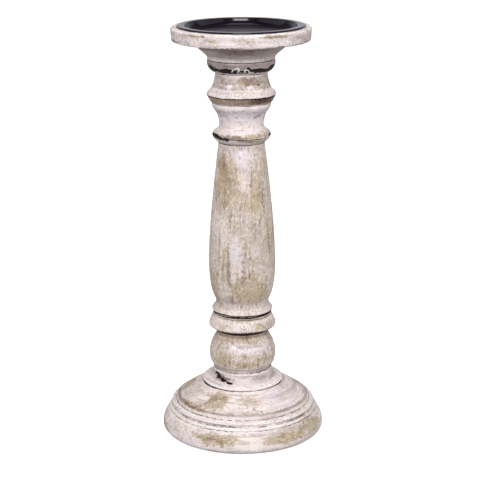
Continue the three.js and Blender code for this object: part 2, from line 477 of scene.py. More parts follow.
enamelLook = {
    "black": shade(12, 4, 18),
    # the dust tone is also the painted reflection that lightens the floor's centre
    "dust": shade(96, 86, 98),
    "speckShow": 0.12,
    "hazeShow": 0.03,
    "wornReflectionShow": 0.16,
    "roughness": 0.09,
    "wornRoughness": 0.2,  # more of it on the worn floor
    "specular": 0.32,
}


def makeEnamel(look):
    material, tree, shader = newMaterial("black_enamel")
    specks = lumps(tree, (0.7, 0.7, 0.7), detail=2)
    haze = lumps(tree, (14, 14, 14), detail=3)
    wornAndReflection = layer(tree, "wornAndReflection")
    dust = times(tree, between(tree, specks, 0.68, 0.76), look["speckShow"])
    haze = times(tree, between(tree, haze, 0.4, 0.7), look["hazeShow"])
    # dust and haze are real; the worn centre's lighter tone is partly painted reflection
    dustAndReflection = plus(tree, plus(tree, dust, haze), times(tree, wornAndReflection, look["wornReflectionShow"]))
    feed(tree, shader.inputs["Base Color"], over(tree, dustAndReflection, look["black"], look["dust"]))
    rough = plus(tree, times(tree, haze, 1.5), times(tree, dust, 0.8))
    rough = plus(tree, rough, times(tree, wornAndReflection, look["wornRoughness"]))
    feed(tree, shader.inputs["Roughness"], plus(tree, rough, look["roughness"]))
    shader.inputs["Specular IOR Level"].default_value = look["specular"]
    bump(tree, shader, lumps(tree, (1.6, 1.6, 1.6), detail=1), 0.05, 0.2)
    return material


zincLook = {
    "bright": shade(186, 188, 190),
    "dull": shade(140, 142, 146),
    "roughness": 0.3,
    "dullRoughness": 0.2,  # more of it where the plate is dull
}


def makeZinc(look):
    material, tree, shader = newMaterial("zinc_steel")
    blotch = lumps(tree, (1.6, 1.6, 1.6), detail=4)
    scratch = lumps(tree, (0.2, 3, 3), detail=2)
    plate = over(tree, between(tree, blotch, 0.4, 0.6), look["bright"], look["dull"])
    feed(tree, shader.inputs["Base Color"], plate)
    shader.inputs["Metallic"].default_value = 1
    rough = times(tree, between(tree, blotch, 0.3, 0.7), look["dullRoughness"])
    feed(tree, shader.inputs["Roughness"], plus(tree, rough, look["roughness"]))
    bump(tree, shader, scratch, 0.03, 0.3)
    return material


feltLook = {
    "light": shade(116, 92, 74),
    "dark": shade(70, 52, 42),
    "roughness": 0.95,
    "sheen": 0.5,
}


def makeFelt(look):
    material, tree, shader = newMaterial("brown_felt")
    strands = lumps(tree, (0.35, 0.35, 0.2), detail=5, roughness=0.75, distortion=1.5)
    clumps = lumps(tree, (1.8, 1.8, 1.8), detail=3)
    tone = over(tree, between(tree, strands, 0.4, 0.62), look["dark"], look["light"])
    tone = over(tree, times(tree, between(tree, clumps, 0.5, 0.7), 0.4), tone, look["light"])
    feed(tree, shader.inputs["Base Color"], tone)
    shader.inputs["Roughness"].default_value = look["roughness"]
    shader.inputs["Sheen Weight"].default_value = look["sheen"]
    bump(tree, shader, strands, 0.2, 0.8)
    return material


uprightWood = makeLimewash("limewash_upright_grain", 2, limewashLook)
levelWood = makeLimewash("limewash_level_grain", 0, limewashLook)
enamel = makeEnamel(enamelLook)
zinc = makeZinc(zincLook)
felt = makeFelt(feltLook)
print("Materials made")


layerNames = ("bare", "lilac", "stain_and_shade", "grime_and_shade", "chalk_and_highlight", "wax_and_shade", "raw", "strokes")

woodRelief = {  # mm, the first number of a pair is the spacing and the second the height
    "outOfRound": (45, 0.10),
    "toolMarks": (0.9, 0.025),
    "grain": (1.2, 0.05),
    "grainLength": 14,
    "lumps": (3.5, 0.06),
    "dents": (4.5, 0.30),
    "paintBuild": 0.12,
    "waxSink": 0.08,
}


# The relief of hand-finished wood, in mm along the surface's own outward direction.
def woodSurface(points, turn, grainAxis, relief, seed):
    spacing, high = relief["outOfRound"]
    surface = cloud(points, spacing, seed) * high
    spacing, high = relief["toolMarks"]
    rings = points * [0.2, 0.2, 1]  # squeezed, so that the marks run long round the piece
    surface += cloud(rings, spacing, seed + 1, octaves=1) * high
    spacing, high = relief["grain"]
    along = [spacing] * 3
    along[grainAxis] = relief["grainLength"]
    surface += cloud(points, along, seed + 2) * high
    spacing, high = relief["lumps"]
    surface += cloud(points, spacing, seed + 3) * high
    spacing, high = relief["dents"]
    knocks = ease(cloud(points, spacing, seed + 4), 0.35, 0.8) * ease(turn, 0.25, 0.9)
    return surface - knocks * high


# how far round the piece the points lie from an angle in degrees: 0 is in front, above 0 to the right
def awayFrom(points, angle):
    around = np.arctan2(points[..., 0], -points[..., 1]) - math.radians(angle)
    return (around + math.pi) % (2 * math.pi) - math.pi


# A soft patch at an angle and a height, sizes in mm.
def dab(points, radius, rag, angle, height, halfWide, halfTall):
    across = awayFrom(points, angle) * radius / (halfWide * mm)
    up = (points[..., 2] - height * mm) / (halfTall * mm)
    return ease(np.hypot(across, up) + rag * 0.55, 1.4, 0.35)


# Strokes of the brush as the piece turned under it: fine across the outline, long round the piece.
def brushStrokes(points, rows, seed):
    steps = np.linalg.norm(np.diff(rows[:, :2], axis=0), axis=1)
    travel = np.concatenate([[0], np.cumsum(steps)])[:, None]
    place = points * 0.1
    place[..., 2] = travel
    return cloud(place, 1.0, seed) + 0.5 * cloud(place, 2.6, seed + 1, octaves=1)


paintRules = {
    "ragSpacing": 2.6,  # mm
    "driftSpacing": 16,
    "ringEdge": 0.3,
    "mostBare": 0.86,
    "mostChalkHighlight": 0.62,
}


def paintLayers(points, rows, spec, rules):
    seed = spec["seed"]
    edge = rules["ringEdge"]
    radius = rows[:, 0][:, None]
    turn = rows[:, 4][:, None]
    rag = cloud(points, rules["ragSpacing"], seed + 10)
    drift = cloud(points, rules["driftSpacing"], seed + 11)
    layers = {name: np.full(points.shape[:2], spec["base"].get(name, 0.0)) for name in layerNames}
    # painted highlight: white on every arris
    layers["chalk_and_highlight"] += spec["edgeHighlight"] * ease(turn, 0.2, 0.9) * (0.75 + 0.5 * drift)
    # dark wax in every groove, which is also painted shade in the creases
    layers["wax_and_shade"] += spec["grooveWaxAndShade"] * ease(-turn, 0.25, 1.0) * (0.8 + 0.5 * rag)
    layers["bare"] += spec["patchy"] * drift
    layers["strokes"] += brushStrokes(points, rows, seed + 12) * spec["brushed"]
    for name, low, high, strength in spec["rings"]:
        height = points[..., 2] / mm + rag * spec["ragged"]
        band = ease(height, low - edge, low + edge) * ease(height, high + edge, high - edge)
        layers[name] += strength * band * (0.95 + 0.5 * drift)
    for name, angle, height, halfWide, halfTall, strength in spec["dabs"] + strewn(spec):
        layers[name] += strength * dab(points, radius, rag, angle, height, halfWide, halfTall)
    layers["bare"] = np.minimum(layers["bare"], rules["mostBare"])
    layers["chalk_and_highlight"] = np.minimum(layers["chalk_and_highlight"], rules["mostChalkHighlight"])
    for within, low, high in spec["unpainted"]:
        height = points[..., 2] / mm
        layers["raw"][(radius / mm < within) & (height > low) & (height < high)] = 1
    return layers


# A curled lip of lifted paint: an arch that leans to one side and stands off the surface by rise, in mm.
def paintCurl(points, angle, height, radius, lean, rise):
    up = points[..., 2] / mm - height
    around = awayFrom(points, angle)
    across = around * np.hypot(points[..., 0], points[..., 1]) / mm - lean * up
    arch = np.abs(np.hypot(across, up) - radius)
    return rise * ease(arch, 0.75, 0.15) * ease(up, -0.7 * radius, 0)


# Patches at random on the sides and the back, of the same kinds as the ones listed for the front.
def strewn(spec):
    draw = np.random.default_rng(spec["seed"] + 20)
    patches = []
    for name, count, low, high, wide, tall, strength in spec["strewn"]:
        for index in range(count):
            angle = draw.uniform(80, 280)
            size = draw.uniform(0.6, 1.3)
            height = draw.uniform(low, high)
            weight = strength * draw.uniform(0.7, 1.1)
            patches.append((name, angle, height, wide * size, tall * size, weight))
    return patches


def turnWood(name, nodeName, spec, material):
    outline, closed = cadOutline(nodeName)
    line = fairOutline(outline, closed, spec["softness"] * mm)
    rows = spreadRings(line, closed, spec["ringGap"], spec["core"])
    angles = np.arange(spec["around"]) * 2 * math.pi / spec["around"]
    points = ringPoints(rows[:, 0], rows[:, 1], angles)
    outward = ringPoints(rows[:, 2], rows[:, 3], angles)
    surface = woodSurface(points, rows[:, 4][:, None], spec["grainAxis"], woodRelief, spec["seed"])
    surface[inCore(rows[:, 0], rows[:, 1], spec["core"])] = 0
    layers = paintLayers(points, rows, spec, paintRules)
    surface += woodRelief["paintBuild"] * ease(layers["chalk_and_highlight"], 0.3, 0.9)
    surface -= woodRelief["waxSink"] * ease(layers["wax_and_shade"], 0.3, 0.9)
    for curl in spec.get("curls", []):
        ridge = paintCurl(points, *curl)
        surface += ridge
        layers["chalk_and_highlight"] += ridge * 1.5
        layers["wax_and_shade"] *= 1 - np.clip(ridge * 3, 0, 1)
    piece = skin(name, points + outward * surface[..., None] * mm, closed)
    for layerName in layerNames:
        addLayer(piece, layerName, layers[layerName])
    piece.data.materials.append(material)
    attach(piece, "candlestick")
    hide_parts(nodeName)
    print("Turned", name, "with", len(piece.data.polygons), "faces")


baseSpec = {
    "seed": 100,
    "grainAxis": 0,
    "around": 440,
    "ringGap": 0.75,
    "softness": 0.2,
    "core": {"radius": 20, "low": 15, "high": 60},
    "base": {"bare": 0.12, "lilac": 0.2, "grime_and_shade": 0.1},
    "edgeHighlight": 0.55,
    "grooveWaxAndShade": 0.75,
    "patchy": 0.35,
    "brushed": 0.9,
    "ragged": 0.35,
    "rings": [  # layer, from and to height, strength
        ("lilac", 2, 6, 0.5),
        # painted shade: the dark rings under the step's beads; the white rings on their arrises are
        # partly painted highlight
        ("chalk_and_highlight", 15.4, 18, 0.22),
        ("wax_and_shade", 18.2, 18.9, 0.5),
        ("chalk_and_highlight", 19.2, 20.3, 0.36),
        ("wax_and_shade", 20.8, 22.2, 0.3),
        ("chalk_and_highlight", 22.7, 24.8, 0.4),
        ("wax_and_shade", 24.8, 25.3, 0.4),
        ("stain_and_shade", 27.3, 28.6, 0.5),
        # painted shade: the dark line under the flange
        ("wax_and_shade", 38.9, 39.8, 0.22),
        ("chalk_and_highlight", 40.1, 42.6, 0.43),
        ("lilac", 42.8, 48, 0.5),
        ("stain_and_shade", 43, 47.6, 0.25),
        ("chalk_and_highlight", 48.3, 49.8, 0.43),
        ("wax_and_shade", 49.9, 50.4, 0.7),
    ],
    "dabs": [  # layer, angle, height, half width, half height, strength
        ("bare", -20, 11.5, 18, 4, 0.86),
        ("bare", 32, 11, 18, 3.6, 0.86),
        ("bare", 62, 13, 15, 4.5, 0.78),
        ("stain_and_shade", -26, 12.5, 9, 1.6, 0.25),
        ("stain_and_shade", 50, 14, 12, 1.5, 0.25),
        ("chalk_and_highlight", 6, 6.5, 6, 5, 0.4),
        ("chalk_and_highlight", -62, 9, 3, 7, 0.45),
        ("chalk_and_highlight", -72, 12, 2.5, 6, 0.45),
        ("bare", -48, 28.6, 12, 1.8, 0.86),
        ("bare", -31, 33.5, 9, 4.2, 0.78),
        ("stain_and_shade", -36, 34.5, 4, 1.6, 0.3),
        ("bare", 8, 34, 10, 3.4, 0.55),
        ("bare", 5, 29, 14, 1.3, 0.47),
        ("lilac", 42, 33, 16, 5, 0.5),
        ("stain_and_shade", -70, 32, 9, 5, 0.2),
        ("chalk_and_highlight", -52, 36, 7, 2.6, 0.4),
        # painted shade: the line under the flange, heavy at the left and faint at the right
        ("wax_and_shade", -66, 39.6, 15, 0.9, 0.9),
        ("wax_and_shade", 74, 39.6, 10, 0.8, 0.5),
        ("wax_and_shade", -62, 47.3, 3.4, 1.0, 1.0),
        ("wax_and_shade", -54, 46.2, 3, 0.9, 1.0),
        ("wax_and_shade", -45, 45, 3.6, 0.8, 1.0),
        ("wax_and_shade", -36, 43.9, 3, 0.7, 0.95),
        ("wax_and_shade", -42, 46.6, 1.8, 0.4, 0.8),
        ("wax_and_shade", -30, 45.4, 2, 0.35, 0.7),
        ("wax_and_shade", -56, 44.4, 1.6, 0.5, 0.8),
        ("grime_and_shade", -47, 45.6, 12, 3.4, 0.95),
        ("chalk_and_highlight", -30, 46.8, 6, 0.9, 0.5),
        # painted shade in the recess under the step ring
        ("grime_and_shade", 42, 21.5, 16, 0.8, 0.4),
        ("wax_and_shade", -8, 21.2, 9, 0.5, 0.25),
        ("wax_and_shade", -24, 43.2, 3, 0.5, 0.9),
        ("stain_and_shade", 40, 46, 8, 1.6, 0.35),
    ],
    "strewn": [  # layer, how many, from and to height, half width, half height, strength
        ("bare", 5, 7, 14, 16, 4, 1.0),
        ("bare", 5, 29, 36, 11, 3.2, 0.9),
        ("stain_and_shade", 4, 10, 15, 9, 1.6, 0.3),
        ("chalk_and_highlight", 6, 5, 16, 5, 3, 0.4),
        ("chalk_and_highlight", 4, 31, 37, 6, 2.4, 0.4),
        ("lilac", 4, 28, 37, 12, 4, 0.5),
        ("wax_and_shade", 3, 43, 47, 4, 1.5, 0.5),
    ],
    "unpainted": [(55.5, 0, 2.0), (40, 0, 14.5)],
}
turnWood("base_turned", "base", baseSpec, levelWood)

knopSpec = {
    "seed": 200,
    "grainAxis": 2,
    "around": 320,
    "ringGap": 0.45,
    "softness": 0.18,
    "core": {"radius": 19, "low": 0, "high": 300},
    "base": {"bare": 0.5, "lilac": 0.25, "grime_and_shade": 0.14},
    "edgeHighlight": 0.55,
    "grooveWaxAndShade": 0.9,
    "patchy": 0.3,
    "brushed": 0.8,
    "ragged": 0.35,
    "rings": [
        ("lilac", 50.5, 53.5, 0.6),
        ("stain_and_shade", 50.5, 53, 0.25),
        ("wax_and_shade", 53.3, 53.8, 0.35),
        ("lilac", 66, 73, 0.45),
        ("bare", 73.8, 79.5, 0.18),
        ("stain_and_shade", 76.8, 80.4, 0.4),
        # painted shade: the dark band under ring B
        ("wax_and_shade", 79.5, 83.1, 0.95),
        ("chalk_and_highlight", 84.4, 90.6, 0.34),
        ("bare", 84, 91, -0.22),
        ("grime_and_shade", 91.5, 92.4, 0.5),
        # the dark joint under ring A, widened by painted shade
        ("wax_and_shade", 93.1, 94.3, 0.8),
    ],
    "dabs": [
        # painted highlight: white and less bare wood high on the front of the ball
        ("chalk_and_highlight", 5, 70.4, 12, 2.2, 0.36),
        ("bare", 4, 69.5, 15, 4.5, -0.3),
        ("chalk_and_highlight", -28, 70.5, 7, 1.8, 0.4),
        ("bare", -35, 60, 9, 4, 0.35),
        ("bare", 10, 57.5, 11, 2.6, 0.45),
        ("bare", 38, 61, 8, 4, 0.32),
        ("bare", 10, 65, 8, 1.8, 0.25),
        ("chalk_and_highlight", -48, 64, 2.5, 3, 0.5),
        ("bare", 34, 87, 8, 2.6, 0.35),
        ("bare", -36, 86.5, 7, 2.2, 0.3),
        ("stain_and_shade", 50, 85, 6, 1.6, 0.3),
    ],
    "strewn": [
        ("bare", 6, 56, 66, 9, 3.5, 0.4),
        ("bare", 4, 84, 90, 8, 2.4, 0.45),
        ("chalk_and_highlight", 6, 58, 72, 6, 2, 0.45),
        ("stain_and_shade", 3, 60, 72, 5, 2, 0.3),
    ],
    "unpainted": [],
}
turnWood("knop_turned", "knop", knopSpec, uprightWood)

columnSpec = {
    "seed": 300,
    "grainAxis": 2,
    "around": 320,
    "ringGap": 0.5,
    "softness": 0.18,
    "core": {"radius": 16.5, "low": 0, "high": 300},
    "base": {"bare": 0.44, "lilac": 0.28, "grime_and_shade": 0.14},
    "edgeHighlight": 0.55,
    "grooveWaxAndShade": 0.9,
    "patchy": 0.25,
    "brushed": 0.25,
    "ragged": 0.35,
    "rings": [
        # the dark joint under ring A, widened by painted shade
        ("wax_and_shade", 94.2, 95.6, 0.95),
        ("chalk_and_highlight", 95.3, 98.9, 0.36),
        ("lilac", 98.9, 104, 0.5),
        ("chalk_and_highlight", 99.2, 101.6, 0.18),
        ("lilac", 214, 222, 0.4),
        ("chalk_and_highlight", 217, 221, 0.18),
        ("wax_and_shade", 221.4, 222, 0.6),
    ],
    "dabs": [
        ("lilac", -25, 106.5, 6, 3.5, 0.7),
        ("stain_and_shade", -25, 106.5, 5, 2.8, 0.25),
        ("chalk_and_highlight", -25, 113, 5, 1.6, 0.5),
        ("bare", 8, 117, 11, 12, 0.42),
        ("bare", 34, 113, 8, 9, 0.4),
        ("bare", -62, 116, 6, 12, 0.47),
        ("lilac", -9, 143, 4.6, 11, 0.7),
        ("chalk_and_highlight", -9, 144, 3.4, 9, 0.35),
        ("bare", -9, 143, 5, 12, -0.31),
        ("stain_and_shade", -44, 146, 1.2, 17, 0.3),
        ("grime_and_shade", -42, 140, 1.6, 14, 0.5),
        ("bare", -33, 136, 1.8, 11, 0.7),
        ("stain_and_shade", -24, 132, 1.6, 14, 0.22),
        ("grime_and_shade", -25, 134, 2.4, 16, 0.6),
        ("stain_and_shade", -20, 177, 1.0, 6, 0.35),
        ("grime_and_shade", -22, 173, 1.6, 8, 0.6),
        ("bare", -36, 194, 11, 18, 0.5),
        ("grime_and_shade", -28, 194, 9, 14, 0.36),
        ("raw", -48, 198, 4, 8, 0.4),
        ("bare", 12, 182, 9, 9, 0.14),
        ("stain_and_shade", -40, 203, 4, 6, 0.25),
        ("stain_and_shade", -27, 195, 2.4, 6, 0.25),
        ("bare", 34, 190, 6, 14, 0.35),
        ("lilac", 12, 166, 9, 10, 0.4),
        ("chalk_and_highlight", 2, 214, 6, 5.5, 0.4),
        ("lilac", 2, 213, 7, 7, 0.5),
        ("bare", 2, 213, 7, 7, -0.39),
        ("stain_and_shade", -52, 209, 4.4, 7, 0.4),
        ("bare", 60, 150, 5, 20, 0.12),
        ("lilac", 28, 150, 9, 18, 0.55),
    ],
    "strewn": [
        ("bare", 8, 108, 205, 8, 12, 0.45),
        ("stain_and_shade", 8, 112, 200, 1.4, 13, 0.3),
        ("grime_and_shade", 8, 112, 200, 2, 13, 0.55),
        ("chalk_and_highlight", 6, 110, 212, 4, 7, 0.4),
        ("lilac", 8, 110, 212, 6, 10, 0.6),
    ],
    "unpainted": [],
}
turnWood("column_turned", "column", columnSpec, uprightWood)

neckSpec = {
    "seed": 400,
    "grainAxis": 2,
    "around": 320,
    "ringGap": 0.4,
    "softness": 0.18,
    "core": {"radius": 15.8, "low": 0, "high": 300},
    "base": {"bare": 0.16, "lilac": 0.32, "grime_and_shade": 0.1},
    "edgeHighlight": 0.55,
    "grooveWaxAndShade": 0.9,
    "patchy": 0.3,
    "brushed": 0.7,
    "ragged": 0.4,
    "rings": [
        ("wax_and_shade", 221.9, 222.6, 0.6),
        ("lilac", 222.3, 224.4, 0.6),
        ("chalk_and_highlight", 227.2, 229.8, 0.29),
        ("chalk_and_highlight", 231.6, 238, 0.22),
        ("lilac", 238, 247.4, 0.6),
        ("grime_and_shade", 241, 247.6, 0.36),
        ("wax_and_shade", 247.7, 248.3, 0.3),
        ("chalk_and_highlight", 248.9, 251.3, 0.45),
        # painted shade: the thin dark line along the arris above the chamfer
        ("wax_and_shade", 251.6, 252.1, 0.35),
        ("bare", 251.8, 256, 0.8),
        ("stain_and_shade", 251.8, 256.4, 0.4),
        ("wax_and_shade", 256, 257.1, 0.75),
        ("chalk_and_highlight", 257.8, 260.4, 0.29),
        ("grime_and_shade", 262, 272, 0.48),
        ("stain_and_shade", 262.5, 271.6, 0.16),
        ("bare", 263, 271, 0.15),
        ("chalk_and_highlight", 270.8, 272.4, 0.36),
        ("wax_and_shade", 272.4, 273, 0.7),
    ],
    "dabs": [
        # painted shade: the dark band and olive-brown shading under the bead, heaviest at the left
        ("wax_and_shade", -36, 226.8, 10, 1.9, 0.68),
        ("wax_and_shade", -72, 228, 8, 1.8, 0.9),
        ("wax_and_shade", 78, 228, 5, 1.4, 0.7),
        ("bare", 26, 227.4, 14, 3, 0.86),
        ("grime_and_shade", 26, 226.8, 13, 2.6, 0.45),
        ("grime_and_shade", -12, 227.2, 11, 2.2, 0.7),
        ("bare", -20, 228, 12, 2, 0.7),
        ("grime_and_shade", -34, 228.8, 13, 1.6, 0.45),
        ("stain_and_shade", 16, 225.6, 6, 1.2, 0.3),
        ("grime_and_shade", -50, 243.8, 4.4, 3.8, 0.22),
        ("grime_and_shade", 45, 243.4, 5.4, 3.6, 0.22),
        ("stain_and_shade", 40, 254.2, 15, 2.2, 0.6),
        ("wax_and_shade", 46, 255.6, 13, 0.9, 0.55),
        ("lilac", -45, 265, 12, 6, 0.6),
        ("chalk_and_highlight", -42, 265, 2.5, 1.8, 0.5),
        ("chalk_and_highlight", -27, 264, 4, 2.4, 0.6),
        ("chalk_and_highlight", -54, 267.6, 2.4, 2.2, 0.45),
        ("grime_and_shade", 14, 268.4, 9.5, 3.6, 0.3),
        ("bare", 14, 268, 8, 3, 0.6),
        ("wax_and_shade", 36, 265.6, 2.2, 0.9, 0.6),
        ("wax_and_shade", 45, 266.8, 2, 0.7, 0.55),
        ("wax_and_shade", 8, 265.2, 1.6, 0.7, 0.5),
        ("chalk_and_highlight", 19, 263.8, 4, 2.2, 0.6),
        ("chalk_and_highlight", -8, 266, 2, 1.2, 0.5),
    ],
    "strewn": [
        # painted shade under the bead, carried round the back
        ("wax_and_shade", 3, 224.6, 226.4, 9, 1.4, 0.9),
        ("bare", 4, 224, 228, 8, 2, 0.8),
        ("stain_and_shade", 5, 233, 246, 4, 3, 0.35),
        ("stain_and_shade", 3, 253, 255, 11, 2, 0.6),
        ("chalk_and_highlight", 9, 261, 269, 3, 2, 0.6),
        ("stain_and_shade", 3, 266, 270, 7, 2.6, 0.45),
        ("bare", 3, 264, 270, 7, 2.6, 0.5),
        ("grime_and_shade", 4, 264, 270, 7, 2.6, 0.5),
        ("wax_and_shade", 5, 263, 268, 2, 0.8, 0.55),
    ],
    "unpainted": [],
}
turnWood("neck_spool_turned", "neck_spool", neckSpec, uprightWood)

cupSpec = {
    "seed": 500,
    "grainAxis": 0,
    "around": 400,
    "ringGap": 0.62,
    "softness": 0.18,
    "core": {"radius": 18, "low": 0, "high": 287},
    "base": {"bare": 0.14, "lilac": 0.25, "grime_and_shade": 0.1},
    "edgeHighlight": 0.55,
    "grooveWaxAndShade": 0.9,
    "patchy": 0.3,
    "brushed": 0.8,
    "ragged": 0.55,
    "rings": [
        ("chalk_and_highlight", 272.8, 273.8, 0.4),
        # the dark joint under the collar, widened by painted shade, and painted shade on the collar's
        # lower half
        ("wax_and_shade", 274.2, 276.9, 0.95),
        ("lilac", 277.5, 281.5, 0.7),
        ("stain_and_shade", 277, 281.4, 0.58),
        ("wax_and_shade", 281.5, 282.3, 0.45),
        ("chalk_and_highlight", 282.8, 284.2, 0.32),
        # painted shade: the darker stain on the cavetto under the plate
        ("stain_and_shade", 285, 293.4, 0.42),
        ("chalk_and_highlight", 293.8, 294.8, 0.25),
        # painted shade: the dark line under the plate
        ("wax_and_shade", 295.2, 296.5, 0.5),
        ("lilac", 296.2, 302.6, 0.35),
        ("chalk_and_highlight", 297.4, 300.6, 0.18),
        ("chalk_and_highlight", 304, 305.4, 0.36),
    ],
    "dabs": [
        # painted shade: the black at the collar's lower sides
        ("wax_and_shade", -64, 277.4, 9, 2, 0.95),
        ("wax_and_shade", 66, 277.4, 9, 2, 0.95),
        ("wax_and_shade", -24, 277, 6, 1.1, 0.9),
        ("wax_and_shade", 12, 277.6, 2, 1.4, 0.9),
        ("wax_and_shade", 32, 277.2, 7, 1.1, 0.9),
        ("chalk_and_highlight", -40, 275, 4, 0.8, 0.6),
        ("chalk_and_highlight", 6, 275.6, 3.4, 0.9, 0.6),
        ("chalk_and_highlight", -18, 276.6, 1.8, 0.5, 0.6),
        ("chalk_and_highlight", 14, 277, 1.4, 0.6, 0.55),
        ("wax_and_shade", 5, 275, 8, 1.2, -0.5),
        ("wax_and_shade", -46, 274.6, 5, 0.8, -0.5),
        # painted shade on the front of the cavetto
        ("stain_and_shade", 0, 290.4, 12, 2.4, 0.35),
        ("bare", 6, 300, 7, 2.6, 0.27),
        ("bare", -43, 303, 11, 1.1, 0.86),
        ("grime_and_shade", -38, 303.2, 9, 0.8, 0.7),
        ("bare", 27, 303, 12, 1.1, 0.78),
        ("grime_and_shade", 24, 303.3, 10, 0.8, 0.7),
        ("bare", -24, 300.6, 6, 1.2, 0.47),
        ("stain_and_shade", -32, 299, 4, 0.8, 0.2),
        ("stain_and_shade", 74, 299.5, 12, 5, 0.25),
        # painted shade along the plate's lower arris at the sides
        ("grime_and_shade", -70, 296.9, 16, 0.8, 0.75),
        ("grime_and_shade", 70, 296.9, 16, 0.8, 0.75),
        ("grime_and_shade", -50, 299, 12, 2.6, 0.35),
        ("grime_and_shade", 45, 300, 10, 2.4, 0.35),
        ("bare", 62, 299.6, 7, 2.6, 0.31),
        ("chalk_and_highlight", 38, 298.6, 8, 1.8, 0.35),
        ("chalk_and_highlight", -8, 298.4, 10, 1.4, 0.35),
    ],
    "curls": [  # angle, height, radius, lean, rise
        (-10, 276.4, 2.2, 0.7, 0.7),
        (10, 276, 1.5, -0.5, 0.5),
    ],
    "strewn": [
        # painted shade under the collar and on the cavetto, carried round the back
        ("wax_and_shade", 5, 276, 277.8, 7, 1.8, 0.9),
        ("stain_and_shade", 4, 287, 292, 10, 2.4, 0.3),
        ("bare", 6, 298, 303, 10, 1.4, 0.75),
        ("grime_and_shade", 6, 297, 303, 9, 1.6, 0.4),
        ("stain_and_shade", 4, 301, 303, 7, 0.8, 0.4),
        ("chalk_and_highlight", 6, 297, 302, 9, 1.6, 0.35),
    ],
    "unpainted": [(42.6, 298, 304.4), (12, 287, 300)],
}
turnWood("candle_cup_turned", "candle_cup", cupSpec, levelWood)


panSpec = {
    "around": 400,
    "ringGap": 0.7,
    "softness": 0.3,
    "wobble": 0.03,
    "hub": 0.4,  # rings inside this radius are left out
    "wornIn": 33,  # dulled by candles and lighter as painted reflection out to here, less and less to the next radius
    "wornOut": 37,
}


def spinPan(spec):
    outline, closed = cadOutline("candle_pan")
    line = fairOutline(outline, closed, spec["softness"] * mm)
    rows = spreadRings(line, closed, spec["ringGap"], None)
    rows = rows[rows[:, 0] > spec["hub"] * mm]
    angles = np.arange(spec["around"]) * 2 * math.pi / spec["around"]
    points = ringPoints(rows[:, 0], rows[:, 1], angles)
    outward = ringPoints(rows[:, 2], rows[:, 3], angles)
    wobble = cloud(points, 22, 600) * spec["wobble"] * mm
    pan = skin("pan_spun", points + outward * wobble[..., None], closed)
    # the dulled floor centre, whose lighter tone is also a painted reflection
    wornAndReflection = ease(rows[:, 0], spec["wornOut"] * mm, spec["wornIn"] * mm)
    addLayer(pan, "wornAndReflection", np.broadcast_to(wornAndReflection[:, None], points.shape[:2]))
    pan.data.materials.append(enamel)
    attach(pan, "pan")
    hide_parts("candle_pan")
    print("Spun the pan with", len(pan.data.polygons), "faces")


spinPan(panSpec)


threadSpec = {"pitch": 1.0, "depth": 0.6, "around": 24, "perTurn": 5, "chamfer": 0.7}


# A threaded rod: rings that climb one pitch each turn, clipped and drawn in to a point at both ends.
def makeRod(spec):
    low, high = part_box("tie_rod")
    outer = (high.x - low.x) / 2
    pitch = spec["pitch"] * mm
    perTurn = spec["perTurn"]
    rings = int((high.z - low.z) / pitch * perTurn) + 2 * perTurn
    angles = np.arange(spec["around"]) * 2 * math.pi / spec["around"]
    ring = np.arange(rings)[:, None]
    rise = low.z - pitch + (ring / perTurn + angles / (2 * math.pi)) * pitch
    crest = np.abs((ring / perTurn) % 1 * 2 - 1)
    radius = outer - spec["depth"] * mm * ease(crest, 0.15, 0.85)
    chamfer = spec["chamfer"] * mm
    fromEnd = np.minimum(rise - low.z, high.z - rise)
    radius = np.minimum(radius, outer - chamfer + np.clip(fromEnd, 0, chamfer))
    past = np.clip(-fromEnd / pitch, 0, 0.97)
    radius = radius * (1 - past)
    rise = np.clip(rise, low.z, high.z)
    points = np.stack([radius * np.sin(angles), -radius * np.cos(angles), rise], axis=-1)
    rod = threadSkin("tie_rod_threaded", points, perTurn)
    rod.data.materials.append(zinc)
    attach(rod, "candlestick")
    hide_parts("tie_rod")
    print("Cut the rod's thread with", len(rod.data.polygons), "faces")


# As skin, but after each turn a ring meets the one a whole pitch above it, so the thread is one helix.
def threadSkin(name, grid, perTurn):
    rings, around = grid.shape[:2]
    faces = []
    for ring in range(rings - 1 - perTurn):
        for place in range(around):
            if place < around - 1:
                beside, shift = place + 1, 0
            else:
                beside, shift = 0, perTurn
            low, high = ring * around, (ring + 1) * around
            jump = shift * around
            faces.append((low + place, low + beside + jump, high + beside + jump, high + place))
    mesh = bpy.data.meshes.new(name)
    mesh.from_pydata(grid.reshape(-1, 3).tolist(), [], faces)
    mesh.shade_smooth()
    piece = bpy.data.objects.new(name, mesh)
    bpy.context.scene.collection.objects.link(piece)
    return piece


makeRod(threadSpec)

nutSpec = {
    "around": 72,
    "holeRadius": 3.05,
    "countersink": 0.5,
    "chamferAngle": 30,
    "edge": 0.12,
    "threads": 10,
    "threadDepth": 0.18,
    "threadStart": 0.4,
}


